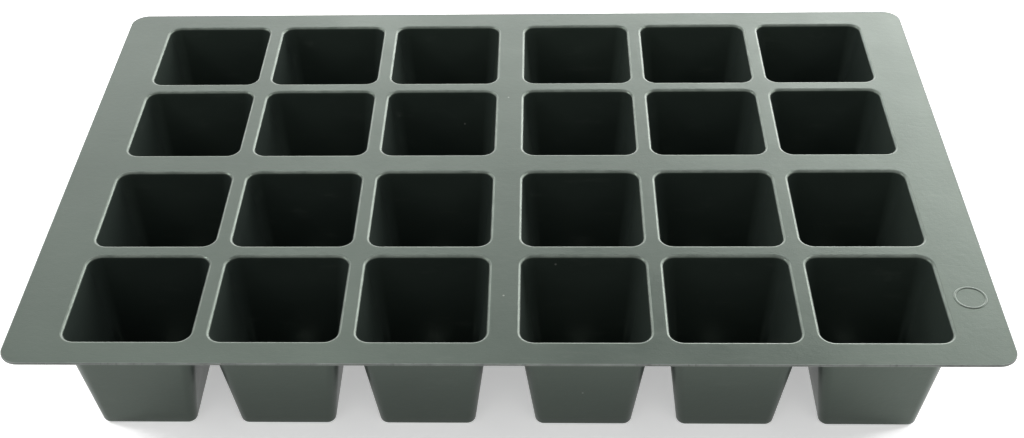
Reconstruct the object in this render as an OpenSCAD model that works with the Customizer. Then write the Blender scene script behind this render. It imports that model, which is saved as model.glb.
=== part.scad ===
// Plug tray with 24 tapered square cells in four blocks of six.
// Millimetres. +X runs along the long side, +Y towards the back, +Z up.
// The origin is at the middle of the tray, on the surface that its cells stand on.

/* [Cell grid] */
// Number of cells along the long side (even, because a wide rib runs down the middle)
cols = 6; // [2:2:6]
// Number of cells along the short side (even, for the same reason)
rows = 4; // [2:2:4]
// Width of each square cell opening in the deck
cell_w = 50; // [44:1:60]
// Width of the narrow ribs between neighbouring cells
rib_w = 7; // [5:0.5:12]
// Width of the two wide ribs that cross at the middle
centre_rib_w = 13; // [13:0.5:20]

/* [Cell shape] */
// Outer width of a cell across its floor
base_w = 38.5; // [30:0.5:42]
// Corner radius of the openings in the deck
opening_r = 5.5; // [3:0.5:10]
// Outer corner radius of a cell at its floor
base_r = 3.5; // [3.5:0.5:8]
// Outer radius between a cell's walls and its floor
floor_edge_r = 1.8; // [1.5:0.1:3]
// Thickness of a cell's walls and floor
wall_t = 0.9; // [0.5:0.1:1.2]
// Diameter of the drain hole in each floor
drain_d = 8; // [4:0.5:14]

/* [Deck] */
// Height of the deck's top face above the cell floors
tray_h = 52; // [40:1:70]
// Thickness of the deck sheet
sheet_t = 1; // [0.6:0.1:1.5]
// Border from the end cells to the short edges
side_border_w = 21.5; // [10:0.5:30]
// Border from the outer rows of cells to the long edges
long_border_w = 12.5; // [8:0.5:20]
// Corner radius of the tray's outline
tray_r = 8; // [2:0.5:12]

/* [Mould mark] */
// Outer diameter of the plain ring on the right-hand border
mark_d = 13; // [6:0.5:16]
// Width of the ring's raised line
mark_line_w = 1.1; // [0.6:0.1:2]
// Height of the ring above the deck
mark_h = 0.3; // [0.2:0.1:0.6]

/* [Hidden] */
$fn = 64;
CORNER_STEPS = 6;
FLOOR_EDGE_STEPS = 3;
CUT_OVER = 2;

pitch = cell_w + rib_w;
block_cols = cols / 2;
block_rows = rows / 2;
block_w = block_cols * pitch;
block_d = block_rows * pitch;
cross_w = centre_rib_w - rib_w;
web_w = 2 * block_w + cross_w;
web_d = 2 * block_d + cross_w;
tray_w = web_w - rib_w + 2 * side_border_w;
tray_d = web_d - rib_w + 2 * long_border_w;
deck_z = tray_h - sheet_t;
top_w = cell_w + 2 * wall_t;
// How far one wall leans outwards for each millimetre of height
draft = (top_w - base_w) / 2 / deck_z;
mark_x = (web_w - rib_w + side_border_w) / 2;

CELL_COLS = [for (c = [1:cols]) c];
CELL_ROWS = [for (r = [1:rows]) r];
BLOCKS = [["front_left", -1, -1], ["front_right", 1, -1], ["back_left", -1, 1], ["back_right", 1, 1]];

// Middle of cell number i of n, counted from the negative side, with the wide rib at the middle
function cell_at(i, n) = (i - (n + 1) / 2) * pitch + (i > n / 2 ? 1 : -1) * cross_w / 2;

// Points of a square with round corners, at height z
function ring(w, r, z) = [
    for (q = [0:3]) for (s = [0:CORNER_STEPS])
        let (a = 90 * (q + s / CORNER_STEPS), m = w / 2 - r)
        [m * (q == 0 || q == 3 ? 1 : -1) + r * cos(a), m * (q < 2 ? 1 : -1) + r * sin(a), z]
];

// Width and corner radius of a cell's outside at height z, before its floor edge is rounded
function outer_w(z) = base_w + 2 * draft * z;
function outer_r(z) = base_r + (opening_r + wall_t - base_r) * z / deck_z;

// Rings that bound a cell, grown inwards by inset, from its floor up to height top
function cell_rings(inset, top) = let (edge_r = floor_edge_r - inset) concat(
    [for (s = [0:FLOOR_EDGE_STEPS])
        let (
            a = 90 * s / FLOOR_EDGE_STEPS,
            z = inset + edge_r * (1 - cos(a)),
            pull = inset + edge_r * (1 - sin(a))
        )
        ring(outer_w(z) - 2 * pull, outer_r(z) - pull, z)],
    [ring(outer_w(top) - 2 * inset, outer_r(top) - inset, top)]
);

// Closed solid through a stack of rings with equal numbers of points
module loft(rings) {
    n = len(rings[0]);
    last = len(rings) - 1;
    polyhedron(
        points = [for (r = rings) for (p = r) p],
        faces = concat(
            [[for (i = [0:n - 1]) i]],
            [[for (i = [n - 1:-1:0]) last * n + i]],
            [for (k = [0:last - 1]) for (i = [0:n - 1])
                let (j = (i + 1) % n)
                [k * n + i, (k + 1) * n + i, (k + 1) * n + j, k * n + j]]
        )
    );
}

module rounded_rect(w, d, r) {
    square([w - 2 * r, d], center = true);
    square([w, d - 2 * r], center = true);
    for (x = [-1, 1], y = [-1, 1]) {
        translate([x * (w / 2 - r), y * (d / 2 - r)]) circle(r);
    }
}

// One cell: a tapered cup with round corners, a rounded floor edge and a drain hole
module cell(c, r) {
    color("#4a5551") translate([cell_at(c, cols), cell_at(r, rows), 0]) difference() {
        loft(cell_rings(0, deck_z));
        loft(cell_rings(wall_t, deck_z + CUT_OVER));
        translate([0, 0, -CUT_OVER]) cylinder(d = drain_d, h = wall_t + 2 * CUT_OVER);
    }
}

// The deck between and just round the cells of one block, x_side and y_side being -1 or 1
module web_block(x_side, y_side) {
    centre_x = x_side * (block_w + cross_w) / 2;
    centre_y = y_side * (block_d + cross_w) / 2;
    color("#73807a") translate([0, 0, deck_z]) linear_extrude(sheet_t) difference() {
        translate([centre_x, centre_y]) square([block_w, block_d], center = true);
        for (c = CELL_COLS, r = CELL_ROWS) {
            translate([cell_at(c, cols), cell_at(r, rows)]) rounded_rect(cell_w, cell_w, opening_r);
        }
    }
}

// What makes the two middle ribs wider than the others
module centre_cross() {
    color("#7b8882") translate([0, 0, deck_z]) linear_extrude(sheet_t) {
        square([web_w, cross_w], center = true);
        square([cross_w, web_d], center = true);
    }
}

// The flat flange round the cell field, cut square at its edge
module border_flange() {
    color("#6d7974") translate([0, 0, deck_z]) linear_extrude(sheet_t) difference() {
        rounded_rect(tray_w, tray_d, tray_r);
        square([web_w, web_d], center = true);
    }
}

// A plain raised ring on the right-hand border, beside the front row
module mould_mark() {
    color("#84918a") translate([mark_x, cell_at(1, rows), tray_h]) difference() {
        cylinder(d = mark_d, h = mark_h);
        translate([0, 0, -CUT_OVER]) cylinder(d = mark_d - 2 * mark_line_w, h = mark_h + 2 * CUT_OVER);
    }
}

border_flange();
centre_cross();
mould_mark();
for (b = BLOCKS) {
    web_block(b[1], b[2]);
}
for (r = CELL_ROWS, c = CELL_COLS) {
    cell(c, r);
}
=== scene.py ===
"""Looks of a 24-cell plug tray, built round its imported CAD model.

The tray is one formed sheet. The deck is one continuous mesh, with a bend at every opening, and each
cell is a mesh of its own that takes over where the bend has turned into the cell's wall.
"""

import math

import bmesh
import bpy
from mathutils import Matrix, Vector


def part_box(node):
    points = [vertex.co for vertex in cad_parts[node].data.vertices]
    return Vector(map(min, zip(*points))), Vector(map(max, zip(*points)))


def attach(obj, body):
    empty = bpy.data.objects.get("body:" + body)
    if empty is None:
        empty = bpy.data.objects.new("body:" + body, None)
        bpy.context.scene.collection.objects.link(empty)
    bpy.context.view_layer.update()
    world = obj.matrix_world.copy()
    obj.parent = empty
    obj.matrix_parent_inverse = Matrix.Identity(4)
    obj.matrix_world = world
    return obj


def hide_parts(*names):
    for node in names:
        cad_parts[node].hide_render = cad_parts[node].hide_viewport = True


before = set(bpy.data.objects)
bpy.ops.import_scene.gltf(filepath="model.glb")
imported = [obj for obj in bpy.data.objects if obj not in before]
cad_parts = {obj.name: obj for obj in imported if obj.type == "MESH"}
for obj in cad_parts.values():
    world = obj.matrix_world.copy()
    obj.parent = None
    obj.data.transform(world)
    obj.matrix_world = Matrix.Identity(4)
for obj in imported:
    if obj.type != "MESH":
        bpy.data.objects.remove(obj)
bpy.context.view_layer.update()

# ---- Sizes, in metres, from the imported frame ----

MM = 0.001
COLS = 6
ROWS = 4
CELLS = {(c, r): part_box(f"cell_r{r}_c{c}") for c in range(1, COLS + 1) for r in range(1, ROWS + 1)}
FLANGE_LOW, FLANGE_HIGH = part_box("border_flange")
MARK_LOW, MARK_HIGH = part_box("mould_mark")
TRAY_W = FLANGE_HIGH.x - FLANGE_LOW.x
TRAY_D = FLANGE_HIGH.y - FLANGE_LOW.y
DECK_Z = FLANGE_HIGH.z
SHEET_T = FLANGE_HIGH.z - FLANGE_LOW.z
CELL_TOP_W = CELLS[1, 1][1].x - CELLS[1, 1][0].x

WALL_T = 0.9 * MM
CELL_BASE_W = 38.5 * MM
RIB_W = 7 * MM
OPENING_R = 5.5 * MM
BASE_R = 3.5 * MM
FLOOR_EDGE_R = 1.8 * MM
DRAIN_R = 4 * MM
TRAY_R = 8 * MM
BEND_R = 1.3 * MM
TRIM_EDGE_R = 0.2 * MM
SEAM_DEPTH = 4 * MM
MARK_LINE_W = 1.1 * MM
# Distances from a bend to the rings of points that keep the deck's shading flat up to it
HOLD_W = 0.15 * MM
FAR_HOLD_W = 3 * HOLD_W
# Smallest corner radius of a cell where its wall rounds into its floor
LEAST_R = 0.5 * MM

WALL_SLOPE = (CELL_TOP_W - CELL_BASE_W) / 2 / FLANGE_LOW.z
DRAFT = math.atan(WALL_SLOPE)

# ---- How finely the curves are cut ----

CORNER_STEPS = 12
SIDE_STEPS = 8
BEND_STEPS = 7
BELOW_BEND_STEPS = 2
WALL_STEPS = 14
FLOOR_EDGE_STEPS = 6
FLOOR_STEPS = 5
MARK_STEPS = 96
TRIM_EDGE_DEGREES = [0, 30, 60, 90]
# Share of the way from an opening to the edge of its plot where the deck's middle ring lies
BETWEEN_SHARE = 0.4
# Points that round to the same multiple of 1 / POINT_GRID metres are one point
POINT_GRID = 1e7
SHARP_DEGREES = 35
MARK_SHARP_DEGREES = 60


def centre(cell):
    low, high = CELLS[cell]
    return Vector(((low.x + high.x) / 2, (low.y + high.y) / 2, 0))


# ---- Rings of a cell: squares with round corners, all with the same number of points ----


def square_ring(half, radius, z):
    """Points of a round-cornered square about the origin, from the back end of its right side."""
    points = []
    flat = half - radius
    for quarter in range(4):
        turn = Matrix.Rotation(math.radians(90 * quarter), 3, "Z")
        for step in range(CORNER_STEPS):
            a = math.radians(90 * step / CORNER_STEPS)
            point = Vector((flat + radius * math.cos(a), flat + radius * math.sin(a), z))
            points.append(turn @ point)
        for step in range(SIDE_STEPS):
            x = flat - 2 * flat * step / SIDE_STEPS
            points.append(turn @ Vector((x, half, z)))
    return points


def plot_ring(half, flat, z):
    """Points of a sharp square, one for each point of a ring whose sides are straight up to flat."""
    points = []
    half_corner = CORNER_STEPS // 2
    for quarter in range(4):
        turn = Matrix.Rotation(math.radians(90 * quarter), 3, "Z")
        for step in range(CORNER_STEPS):
            if step <= half_corner:
                point = Vector((half, flat + (half - flat) * step / half_corner, z))
            else:
                point = Vector((half - (half - flat) * (step - half_corner) / half_corner, half, z))
            points.append(turn @ point)
        for step in range(SIDE_STEPS):
            points.append(turn @ Vector((flat - 2 * flat * step / SIDE_STEPS, half, z)))
    return points


def inner_half(z):
    """Half the inner width of a cell at height z, where its walls are flat."""
    return CELL_TOP_W / 2 - WALL_T + WALL_SLOPE * (z - FLANGE_LOW.z)


def inner_radius(z):
    """Corner radius of a cell's inside at height z."""
    return BASE_R - WALL_T + (OPENING_R - BASE_R + WALL_T) * z / FLANGE_LOW.z


# Middle of the bend's arc, as a half width about the cell's middle, and its height
BEND_Z = DECK_Z - BEND_R
BEND_HALF = inner_half(BEND_Z) + BEND_R / math.cos(DRAFT)
BEND_SWEEP = math.pi / 2 - DRAFT
BEND_FLAT = BEND_HALF - (inner_radius(DECK_Z) + BEND_HALF - inner_half(DECK_Z))


def bend_rings(bend_radius):
    """Rings down a bend from the deck to the wall, without the ring that lies on the deck."""
    rings = []
    for step in range(1, BEND_STEPS + 1):
        a = math.pi / 2 + BEND_SWEEP * step / BEND_STEPS
        half = BEND_HALF + bend_radius * math.cos(a)
        rings.append(square_ring(half, half - BEND_FLAT, BEND_Z + bend_radius * math.sin(a)))
    return rings


def wall_ring(z, out):
    """Ring on a cell's wall at height z, out metres outwards from the inner face."""
    half = inner_half(z) + out
    flat = inner_half(z) - inner_radius(z)
    return square_ring(half, half - flat, z)


# ---- Mesh building ----


class Sheet:
    """Collects faces and shares points that fall in the same place."""

    def __init__(self):
        self.mesh = bmesh.new()
        self.places = {}
        self.material_index = 0

    def point(self, place):
        key = tuple(round(value * POINT_GRID) for value in place)
        if key not in self.places:
            self.places[key] = self.mesh.verts.new(place)
        return self.places[key]

    def face(self, places):
        points = []
        for place in places:
            point = self.point(place)
            if point not in points:
                points.append(point)
        if len(points) > 2:
            self.mesh.faces.new(points).material_index = self.material_index

    def band(self, first, second):
        """Faces between two rings of places."""
        count = len(first)
        for i in range(count):
            j = (i + 1) % count
            self.face([first[i], first[j], second[j], second[i]])

    def patch(self, xs, ys, z):
        """Level faces at height z between lines across x and y."""
        for x0, x1 in zip(xs, xs[1:]):
            for y0, y1 in zip(ys, ys[1:]):
                corners = ((x0, y0), (x1, y0), (x1, y1), (x0, y1))
                self.face([Vector((x, y, z)) for x, y in corners])

    def finish(self, name, *materials, sharp_degrees=SHARP_DEGREES):
        bmesh.ops.recalc_face_normals(self.mesh, faces=self.mesh.faces)
        for face in self.mesh.faces:
            face.smooth = True
        for edge in self.mesh.edges:
            if len(edge.link_faces) == 2:
                edge.smooth = edge.calc_face_angle(0) < math.radians(sharp_degrees)
        data = bpy.data.meshes.new(name)
        self.mesh.to_mesh(data)
        self.mesh.free()
        for material in materials:
            data.materials.append(material)
        piece = bpy.data.objects.new(name, data)
        bpy.context.scene.collection.objects.link(piece)
        return piece


def moved(places, offset):
    return [place + offset for place in places]


# ---- Deck ----


def plot_half():
    """Half the width of one cell's share of the deck: its opening and half a rib all round."""
    return (CELL_TOP_W - 2 * WALL_T + RIB_W) / 2


def field_lines(axis):
    """Places of the mesh lines across the deck along one axis, over the whole cell field."""
    values = set()
    for cell in CELLS:
        for point in plot_ring(plot_half(), BEND_FLAT, 0):
            values.add(round((centre(cell)[axis] + point[axis]) * POINT_GRID))
    return sorted(value / POINT_GRID for value in values)


def deck_face_grid(sheet, z):
    """The flat of the cell field at height z: round the openings and along the wide ribs."""
    half = plot_half()
    for cell in CELLS:
        at = centre(cell) + Vector((0, 0, z))
        opening = moved(square_ring(BEND_HALF, BEND_HALF - BEND_FLAT, 0), at)
        holds = []
        for out in (HOLD_W, FAR_HOLD_W):
            held = BEND_HALF + out
            holds.append(moved(square_ring(held, held - BEND_FLAT, 0), at))
        plot = moved(plot_ring(half, BEND_FLAT, 0), at)
        between = [a.lerp(b, BETWEEN_SHARE) for a, b in zip(opening, plot)]
        rings = [opening, *holds, between, plot]
        for first, second in zip(rings, rings[1:]):
            sheet.band(first, second)
    lines_x = field_lines(0)
    lines_y = field_lines(1)
    gap_x = max(b - a for a, b in zip(lines_x, lines_x[1:]) if a < 0 < b)
    strip = [-gap_x / 2, 0.0, gap_x / 2]

    for side in (-1, 1):
        sheet.patch(strip, [y for y in lines_y if y * side > 0], z)
        sheet.patch([x for x in lines_x if x * side > 0], strip, z)
    sheet.patch(strip, strip, z)


def outline(inset, z):
    """The tray's outline at height z, moved inwards, anticlockwise from its right side's front end."""
    lines_x = sorted(field_lines(0) + [0.0])
    lines_y = sorted(field_lines(1) + [0.0])
    w = TRAY_W / 2 - inset
    d = TRAY_D / 2 - inset
    r = TRAY_R - inset
    points = [Vector((w, y, z)) for y in lines_y]
    points += corner(w, d, r, 0, z)
    points += [Vector((x, d, z)) for x in reversed(lines_x)]
    points += corner(-w, d, r, 1, z)
    points += [Vector((-w, y, z)) for y in reversed(lines_y)]
    points += corner(-w, -d, r, 2, z)
    points += [Vector((x, -d, z)) for x in lines_x]
    points += corner(w, -d, r, 3, z)
    return points


def corner(x, y, r, quarter, z):
    """Points of one round corner of the outline."""
    at = Vector((x - math.copysign(r, x), y - math.copysign(r, y), z))
    count = 2 * CORNER_STEPS
    points = []
    for step in range(count + 1):
        a = math.radians(90 * (quarter + step / count))
        points.append(at + Vector((r * math.cos(a), r * math.sin(a), 0)))
    return points


def field_outline(z):
    """The edge of the cell field at height z, one point for each point of the tray's outline."""
    lines_x = sorted(field_lines(0) + [0.0])
    lines_y = sorted(field_lines(1) + [0.0])
    w, d = lines_x[-1], lines_y[-1]
    turn = 2 * CORNER_STEPS + 1
    points = [Vector((w, y, z)) for y in lines_y]
    points += [Vector((w, d, z))] * turn
    points += [Vector((x, d, z)) for x in reversed(lines_x)]
    points += [Vector((-w, d, z))] * turn
    points += [Vector((-w, y, z)) for y in reversed(lines_y)]
    points += [Vector((-w, -d, z))] * turn
    points += [Vector((x, -d, z)) for x in lines_x]
    points += [Vector((w, -d, z))] * turn
    return points


def rim_rings(low):
    """Rings of the tray's outline round its cut edge, from the deck's top face to its underside."""
    rings = [outline(TRIM_EDGE_R + HOLD_W, DECK_Z)]
    for z, side in ((DECK_Z, -1), (low, 1)):
        turns = TRIM_EDGE_DEGREES if side < 0 else reversed(TRIM_EDGE_DEGREES)
        for turn in turns:
            a = math.radians(turn)
            inset = TRIM_EDGE_R * (1 - math.sin(a))
            rings.append(outline(inset, z + side * TRIM_EDGE_R * (1 - math.cos(a))))
    rings.append(outline(TRIM_EDGE_R + HOLD_W, low))
    return rings


def deck(plastic, cut_edge):
    """The deck and the bends at its openings, as one closed sheet."""
    sheet = Sheet()
    low = DECK_Z - SHEET_T
    rims = rim_rings(low)
    for rim in (rims[0], rims[-1]):
        z = rim[0].z
        deck_face_grid(sheet, z)
        inner = field_outline(z)
        hold = outline(TRIM_EDGE_R + FAR_HOLD_W, z)
        middle = [a.lerp(b, 0.5) for a, b in zip(inner, hold)]
        for first, second in ((inner, middle), (middle, hold), (hold, rim)):
            sheet.band(first, second)
    sheet.material_index = 1
    for first, second in zip(rims, rims[1:]):
        sheet.band(first, second)
    sheet.material_index = 0
    seam_z = DECK_Z - SEAM_DEPTH
    top = [square_ring(BEND_HALF, BEND_HALF - BEND_FLAT, DECK_Z)] + bend_rings(BEND_R)
    under = [square_ring(BEND_HALF, BEND_HALF - BEND_FLAT, low)] + bend_rings(BEND_R - SHEET_T)
    bend_end = top[-1][0].z
    for step in range(1, BELOW_BEND_STEPS + 1):
        z = bend_end + (seam_z - bend_end) * step / BELOW_BEND_STEPS
        top.append(wall_ring(z, 0))
        under.append(wall_ring(z, WALL_T))
    for cell in CELLS:
        at = centre(cell)
        for rings in (top, under):
            for first, second in zip(rings, rings[1:]):
                sheet.band(moved(first, at), moved(second, at))
        sheet.band(moved(top[-1], at), moved(under[-1], at))
    return sheet.finish("formed_deck", plastic, cut_edge)


# ---- Cells ----


def floor_edge_rings(edge_r, bottom, out):
    """Rings round the edge from a cell's wall to its floor, from the wall down."""
    rings = []
    for step in range(FLOOR_EDGE_STEPS + 1):
        a = math.pi / 2 * (1 - step / FLOOR_EDGE_STEPS)
        z = bottom + edge_r * (1 - math.sin(math.pi / 2 - a))
        pull = edge_r * (1 - math.sin(a)) - out
        half = inner_half(z) - pull
        radius = max(inner_radius(z) - pull, LEAST_R)
        rings.append(square_ring(half, radius, z))
    return rings


def floor_rings(start, z):
    """Rings across a floor from its edge to the drain hole."""
    rings = []
    hole = []
    for point in start:
        a = math.atan2(point.y, point.x)
        hole.append(Vector((DRAIN_R * math.cos(a), DRAIN_R * math.sin(a), z)))
    for step in range(1, FLOOR_STEPS + 1):
        share = step / FLOOR_STEPS
        rings.append([a.lerp(b, share) for a, b in zip(start, hole)])
    return rings


def cell_cup(cell, material):
    """One cell below the seam: its walls, its floor and its drain hole, as one closed sheet."""
    sheet = Sheet()
    seam_z = DECK_Z - SEAM_DEPTH
    sides = []
    inside = (0, FLOOR_EDGE_R - WALL_T, WALL_T)
    outside = (WALL_T, FLOOR_EDGE_R, 0)
    for out, edge_r, bottom in (inside, outside):
        floor_edge = floor_edge_rings(edge_r, bottom, out)
        low = floor_edge[0][0].z
        walls = []
        for step in range(WALL_STEPS):
            walls.append(wall_ring(seam_z + (low - seam_z) * step / WALL_STEPS, out))
        sides.append(walls + floor_edge + floor_rings(floor_edge[-1], bottom))
    at = centre(cell)
    for rings in sides:
        for first, second in zip(rings, rings[1:]):
            sheet.band(moved(first, at), moved(second, at))
    sheet.band(moved(sides[0][0], at), moved(sides[1][0], at))
    sheet.band(moved(sides[0][-1], at), moved(sides[1][-1], at))
    return sheet.finish(f"formed_cell_r{cell[1]}_c{cell[0]}", material)


# ---- Mould mark ----


# Half of the ring line's outline: across it from -1 at its side to 0 at its middle, and up to 1 at its top
MARK_HALF_PROFILE = [(-1.0, -0.4), (-1.0, 0.0), (-0.8, 0.45), (-0.45, 0.85), (0, 1)]


def raised_ring(material):
    """A plain ring with a round back, standing up from the border."""
    sheet = Sheet()
    at = Vector(((MARK_LOW.x + MARK_HIGH.x) / 2, (MARK_LOW.y + MARK_HIGH.y) / 2, 0))
    mean_r = (MARK_HIGH.x - MARK_LOW.x) / 2 - MARK_LINE_W / 2
    rise = MARK_HIGH.z - MARK_LOW.z
    other_half = [(-across, up) for across, up in reversed(MARK_HALF_PROFILE[:-1])]
    profile = MARK_HALF_PROFILE + other_half
    rings = []
    for across, up in profile:
        r = mean_r + across * MARK_LINE_W / 2
        z = MARK_LOW.z + up * rise
        turns = [math.tau * i / MARK_STEPS for i in range(MARK_STEPS)]
        rings.append([at + Vector((r * math.cos(a), r * math.sin(a), z)) for a in turns])
    for first, second in zip(rings, rings[1:] + rings[:1]):
        sheet.band(first, second)
    return sheet.finish("raised_mould_ring", material, sharp_degrees=MARK_SHARP_DEGREES)


# ---- Materials ----


# Places of the Mix node's colour sockets, which share their names with its other sockets
MIX_A = 6
MIX_B = 7
MIX_RESULT = 2
# A normal's rise above level: where walls end and bends begin, and where bends end and flats begin
WALL_RISE = (0.25, 0.6)
FLAT_RISE = (0.999, 0.985)


class Nodes:
    """Short ways to add and join shader nodes."""

    def __init__(self, name):
        self.material = bpy.data.materials.new(name)
        self.material.use_nodes = True
        self.tree = self.material.node_tree
        self.shader = self.tree.nodes["Principled BSDF"]
        texture_places = self.tree.nodes.new("ShaderNodeTexCoord")
        self.coords = texture_places.outputs["Object"]
        self.normal = texture_places.outputs["Normal"]

    def link(self, source, target):
        self.tree.links.new(source, target)

    def scaled(self, scale, turn=(0, 0, 0)):
        """Object coordinates, scaled and turned."""
        mapping = self.tree.nodes.new("ShaderNodeMapping")
        mapping.inputs["Scale"].default_value = scale
        mapping.inputs["Rotation"].default_value = turn
        self.link(self.coords, mapping.inputs["Vector"])
        return mapping.outputs["Vector"]

    def noise(self, scale, detail=3.0, roughness=0.5, vector=None):
        node = self.tree.nodes.new("ShaderNodeTexNoise")
        node.inputs["Scale"].default_value = scale
        node.inputs["Detail"].default_value = detail
        node.inputs["Roughness"].default_value = roughness
        self.link(vector or self.coords, node.inputs["Vector"])
        return node.outputs["Fac"]

    def voronoi(self, scale, feature="F1", vector=None):
        node = self.tree.nodes.new("ShaderNodeTexVoronoi")
        node.feature = feature
        node.inputs["Scale"].default_value = scale
        self.link(vector or self.coords, node.inputs["Vector"])
        return node

    def remap(self, value, from_low, from_high, to_low=0.0, to_high=1.0):
        node = self.tree.nodes.new("ShaderNodeMapRange")
        node.inputs["From Min"].default_value = from_low
        node.inputs["From Max"].default_value = from_high
        node.inputs["To Min"].default_value = to_low
        node.inputs["To Max"].default_value = to_high
        self.link(value, node.inputs["Value"])
        return node.outputs["Result"]

    def math(self, operation, a, b):
        node = self.tree.nodes.new("ShaderNodeMath")
        node.operation = operation
        for socket, value in zip(node.inputs, (a, b)):
            if isinstance(value, (int, float)):
                socket.default_value = value
            else:
                self.link(value, socket)
        return node.outputs["Value"]

    def mix(self, share, a, b):
        """Colour a where share is 0 and colour b where it is 1."""
        node = self.tree.nodes.new("ShaderNodeMix")
        node.data_type = "RGBA"
        self.link(share, node.inputs["Factor"])
        for socket, value in ((node.inputs[MIX_A], a), (node.inputs[MIX_B], b)):
            if isinstance(value, tuple):
                socket.default_value = (*value, 1)
            else:
                self.link(value, socket)
        return node.outputs[MIX_RESULT]

    def bend_mask(self, facing):
        """1 on bends between a wall and a flat that faces up (facing 1) or down (-1), and 0 elsewhere."""
        split = self.tree.nodes.new("ShaderNodeSeparateXYZ")
        self.link(self.normal, split.inputs["Vector"])
        rise = self.math("MULTIPLY", split.outputs["Z"], facing)
        off_wall = self.remap(rise, *WALL_RISE)
        off_flat = self.remap(rise, *FLAT_RISE)
        return self.math("MULTIPLY", off_wall, off_flat)

    def bump(self, height, distance, strength=1.0, under=None):
        node = self.tree.nodes.new("ShaderNodeBump")
        node.inputs["Distance"].default_value = distance
        node.inputs["Strength"].default_value = strength
        self.link(height, node.inputs["Height"])
        if under:
            self.link(under, node.inputs["Normal"])
        return node.outputs["Normal"]


DARK_GREEN_GREY = (0.015, 0.020, 0.018)
LIGHTER_GREEN_GREY = (0.021, 0.028, 0.024)
WORN = (0.045, 0.052, 0.046)
# Light colour for the bends: partly wear, partly a painted highlight along the edges of the openings
EDGE_WEAR_AND_HIGHLIGHT = (0.105, 0.118, 0.106)
DUST = (0.14, 0.145, 0.135)
# Colours of the cut edge, both much lighter than the sheet: a painted highlight along the tray's edge
CUT_HIGHLIGHT_DARKER = (0.07, 0.08, 0.072)
CUT_HIGHLIGHT_LIGHTER = (0.14, 0.155, 0.142)
FLOOR_WHITE = (0.9, 0.9, 0.9)
FLOOR_WHITER = (0.92, 0.92, 0.92)
WHITE = (1, 1, 1, 1)
# The sheet's surface reflects white light slightly greenish
GREENISH = (0.81, 1.0, 0.82)
PLASTIC_IOR = 1.57
# How much of the worn colour the strongest scuffs show, and how much rougher they are
SCUFF_COLOUR = 0.45
SCUFF_ROUGHNESS = 0.10
# Specks of dust sit at the middles of those Voronoi cells whose random red is over this
SPECK_ABOVE = 0.93
FLOOR_GLOW = 0.42


def formed_plastic(name, highlight_and_wear_side):
    """Satin dark green-grey sheet: mottled colour, fine grain, scuffs, a little dust, and bends painted
    lighter, partly as wear and partly as a painted highlight.

    The second argument is 1 where the upper bends are painted lighter, and -1 where the lower ones are.
    """
    n = Nodes(name)
    mottle = n.remap(n.noise(scale=9.0, detail=4.0, roughness=0.55), 0.35, 0.68)
    colour = n.mix(mottle, DARK_GREEN_GREY, LIGHTER_GREEN_GREY)
    stretched = n.scaled((1, 7, 3), turn=(0, 0, 0.5))
    streaks = n.noise(scale=55.0, detail=6.0, roughness=0.7, vector=stretched)
    scuffs = n.remap(streaks, 0.58, 0.76, 0.0, SCUFF_COLOUR)
    colour = n.mix(scuffs, colour, WORN)
    # Bends painted lighter in uneven patches: partly wear, partly a painted highlight along the bends
    wear_and_highlight_patches = n.remap(n.noise(scale=140.0, detail=4.0, roughness=0.6), 0.3, 0.6, 0.45, 1.0)
    colour = n.mix(n.math("MULTIPLY", n.bend_mask(highlight_and_wear_side), wear_and_highlight_patches), colour, EDGE_WEAR_AND_HIGHLIGHT)
    specks = n.voronoi(95.0)
    speck = n.remap(specks.outputs["Distance"], 0.03, 0.05, 1.0, 0.0)
    chosen = n.tree.nodes.new("ShaderNodeSeparateColor")
    n.link(specks.outputs["Color"], chosen.inputs["Color"])
    rare = n.math("GREATER_THAN", chosen.outputs["Red"], SPECK_ABOVE)
    colour = n.mix(n.math("MULTIPLY", speck, rare), colour, DUST)
    n.link(colour, n.shader.inputs["Base Color"])
    satin = n.remap(n.noise(scale=30.0, detail=5.0, roughness=0.6), 0.3, 0.7, 0.29, 0.39)
    rough = n.math("ADD", satin, n.remap(scuffs, 0, SCUFF_COLOUR, 0, SCUFF_ROUGHNESS))
    n.link(rough, n.shader.inputs["Roughness"])
    n.shader.inputs["IOR"].default_value = PLASTIC_IOR
    n.shader.inputs["Specular Tint"].default_value = (*GREENISH, 1)
    waves = n.noise(scale=26.0, detail=2.0, roughness=0.5)
    ripple = n.bump(waves, distance=0.35 * MM, strength=0.5)
    pores = n.noise(scale=420.0, detail=3.0, roughness=0.55)
    orange_peel = n.bump(pores, distance=0.05 * MM, strength=0.8, under=ripple)
    grains = n.noise(scale=1500.0, detail=3.0, roughness=0.6)
    grain = n.bump(grains, distance=0.04 * MM, strength=0.7, under=orange_peel)
    long_cells = n.scaled((0.15, 2.6, 1), turn=(0, 0, 0.35))
    scratch_field = n.voronoi(scale=60.0, feature="DISTANCE_TO_EDGE", vector=long_cells)
    scratch_lines = n.remap(scratch_field.outputs["Distance"], 0.0, 0.012)
    scratches = n.bump(scratch_lines, distance=0.02 * MM, strength=0.35, under=grain)
    n.link(scratches, n.shader.inputs["Normal"])
    return n.material


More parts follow.
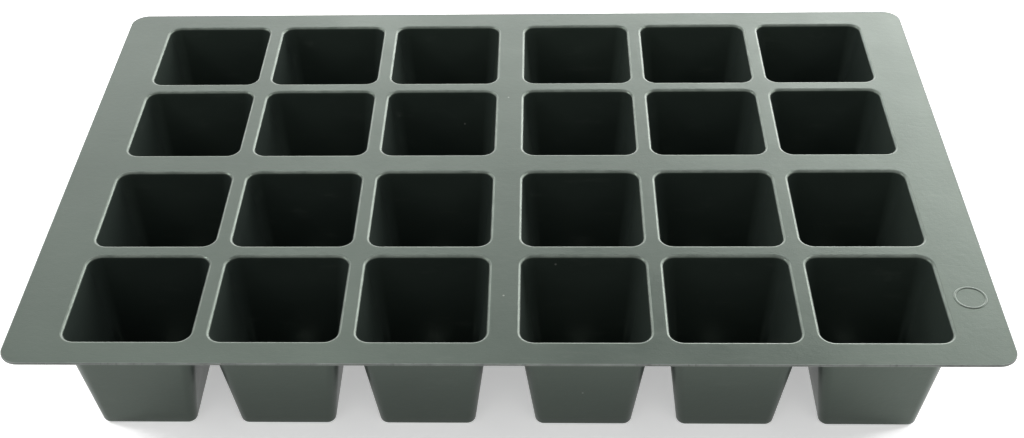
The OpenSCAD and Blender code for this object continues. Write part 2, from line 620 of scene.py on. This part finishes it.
def cut_edge_plastic():
    """The sheet's cut edge: rough, and painted lighter than the sheet in uneven patches along its length,
    as a painted highlight.
    """
    n = Nodes("cut_edge_plastic")
    # Lighter patches along the cut edge: a painted highlight
    patches = n.remap(n.noise(scale=120.0, detail=4.0, roughness=0.6), 0.35, 0.65)
    colour = n.mix(patches, CUT_HIGHLIGHT_DARKER, CUT_HIGHLIGHT_LIGHTER)
    upright = n.scaled((1, 1, 0.1))
    nicks = n.remap(n.noise(scale=700.0, detail=2.0, roughness=0.5, vector=upright), 0.62, 0.72, 0.0, 0.6)
    n.link(n.mix(nicks, colour, WORN), n.shader.inputs["Base Color"])
    n.link(n.remap(patches, 0, 1, 0.5, 0.75), n.shader.inputs["Roughness"])
    n.shader.inputs["IOR"].default_value = PLASTIC_IOR
    blade_marks = n.noise(scale=900.0, detail=3.0, roughness=0.6)
    n.link(n.bump(blade_marks, distance=0.05 * MM, strength=0.6), n.shader.inputs["Normal"])
    return n.material


def floor_material():
    """Matt white that glows, so that the floor shows nearly as white as the photo's cut-out ground."""
    n = Nodes("studio_floor")
    n.link(n.mix(n.noise(3.0), FLOOR_WHITE, FLOOR_WHITER), n.shader.inputs["Base Color"])
    n.shader.inputs["Roughness"].default_value = 0.9
    n.shader.inputs["Emission Color"].default_value = WHITE
    n.shader.inputs["Emission Strength"].default_value = FLOOR_GLOW
    return n.material


# ---- Stage, light and camera ----


FLOOR_REACH = 6.0
FLOOR_SQUARES = 12
# Just under the cells, so that no two surfaces lie in one plane
FLOOR_Z = -0.2 * MM


def studio_floor():
    """A white floor, 12 metres square."""
    sheet = Sheet()
    lines = []
    for i in range(FLOOR_SQUARES + 1):
        lines.append(-FLOOR_REACH + 2 * FLOOR_REACH * i / FLOOR_SQUARES)
    sheet.patch(lines, lines, FLOOR_Z)
    floor = sheet.finish("studio_floor", floor_material())


WORLD_STRENGTH = 0.02
ABOVE_TRAY = (0, 0, 0.1)
TRAY_FOOT = (0, 0, 0)


def soft_box(name, place, aim, width, height, watts):
    """A rectangular white studio light at place, facing aim."""
    data = bpy.data.lights.new(name, "AREA")
    data.shape = "RECTANGLE"
    data.size, data.size_y = width, height
    data.energy = watts
    lamp = bpy.data.objects.new(name, data)
    lamp.location = place
    lamp.rotation_mode = "QUATERNION"
    lamp.rotation_quaternion = (Vector(aim) - Vector(place)).to_track_quat("-Z", "Y")
    bpy.context.scene.collection.objects.link(lamp)


def studio_light():
    """Soft boxes all round and over the tray, the strongest at the back right, and a faint white world."""
    world = bpy.data.worlds.new("studio")
    world.use_nodes = True
    background = world.node_tree.nodes["Background"]
    background.inputs["Color"].default_value = WHITE
    background.inputs["Strength"].default_value = WORLD_STRENGTH
    bpy.context.scene.world = world
    soft_box("back_left", (-0.75, 1.5, 0.6), ABOVE_TRAY, 0.9, 1.2, 9.6)
    soft_box("back_middle", (0, 1.6, 0.6), ABOVE_TRAY, 0.7, 1.2, 10)
    soft_box("back_right", (0.75, 1.5, 0.6), ABOVE_TRAY, 0.9, 1.2, 20)
    soft_box("right_back", (2.3, 1.5, 1.2), TRAY_FOOT, 2.4, 2.4, 70)
    soft_box("left_back", (-2.3, 1.5, 1.2), TRAY_FOOT, 2.4, 2.4, 12)
    soft_box("high_left", (-0.5, 1.2, 1.55), TRAY_FOOT, 0.9, 0.6, 5.9)
    soft_box("high_right", (0.9, 1.25, 1.45), TRAY_FOOT, 0.9, 0.6, 4)
    soft_box("left_side", (-1.6, 0, 1.1), TRAY_FOOT, 1.3, 1.1, 13)
    soft_box("left_spot", (-1.5, 0.1, 1.4), TRAY_FOOT, 0.35, 0.35, 14)
    soft_box("right_spot", (1.5, 0.1, 1.4), TRAY_FOOT, 0.35, 0.35, 14)
    soft_box("over_camera", (0, -2.0, 1.6), TRAY_FOOT, 4.0, 2.4, 27)
    soft_box("overhead", (0, 0, 2.2), TRAY_FOOT, 1.6, 1.6, 6)
    soft_box("horizon", (0, 1.3, 0.14), ABOVE_TRAY, 3.0, 0.24, 3)


# The camera, from a fit to the corners of the openings in the photo
# Place, in cell openings from the middle of the deck's top face
CAMERA_PLACE = Vector((0.3006, -10.4605, 7.7581))
# Degrees that its view is turned to the left, looks down, and is turned about its own line
CAMERA_AZIMUTH = 2.741
CAMERA_ELEVATION = 40.041
CAMERA_ROLL = -1.779
# Focal length as a share of the picture's width, and shifts of the picture's centre in the same measure
CAMERA_FOCAL_SHARE = 1481.8 / 1024
CAMERA_SHIFT_X = 0.0233
CAMERA_SHIFT_Y = 0.0341
CAMERA_SENSOR_MM = 36
CAMERA_NEAR = 0.01
CAMERA_FAR = 50


def photo_camera():
    """The camera of the photo."""
    opening_w = CELL_TOP_W - 2 * WALL_T
    place = CAMERA_PLACE * opening_w + Vector((0, 0, DECK_Z))
    azimuth = math.radians(CAMERA_AZIMUTH)
    elevation = math.radians(CAMERA_ELEVATION)
    roll = math.radians(CAMERA_ROLL)
    level = Vector((-math.sin(azimuth), math.cos(azimuth), 0))
    forward = level * math.cos(elevation) - Vector((0, 0, math.sin(elevation)))
    right = forward.cross(Vector((0, 0, 1))).normalized()
    up = right.cross(forward)
    turned_right = right * math.cos(roll) + up * math.sin(roll)
    turned_up = turned_right.cross(forward)
    data = bpy.data.cameras.new("photo_camera")
    data.sensor_width = CAMERA_SENSOR_MM
    data.lens = CAMERA_SENSOR_MM * CAMERA_FOCAL_SHARE
    data.shift_x = CAMERA_SHIFT_X
    data.shift_y = CAMERA_SHIFT_Y
    data.clip_start = CAMERA_NEAR
    data.clip_end = CAMERA_FAR
    camera = bpy.data.objects.new("photo_camera", data)
    camera.matrix_world = Matrix((turned_right, turned_up, -forward)).transposed().to_4x4()
    camera.location = place
    bpy.context.scene.collection.objects.link(camera)
    bpy.context.scene.camera = camera


photo_camera()
studio_floor()
studio_light()
bpy.context.scene.view_settings.view_transform = "Standard"

DECK_PLASTIC = formed_plastic("deck_plastic", 1)
CELL_PLASTIC = formed_plastic("cell_plastic", -1)
DECK_NODES = [
    "border_flange",
    "centre_cross",
    "web_front_left",
    "web_front_right",
    "web_back_left",
    "web_back_right",
]

deck_piece = deck(DECK_PLASTIC, cut_edge_plastic())
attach(deck_piece, "root")
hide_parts(*DECK_NODES)

for cell in CELLS:
    cup = cell_cup(cell, CELL_PLASTIC)
    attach(cup, "root")
    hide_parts(f"cell_r{cell[1]}_c{cell[0]}")

ring = raised_ring(DECK_PLASTIC)
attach(ring, "root")
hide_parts("mould_mark")
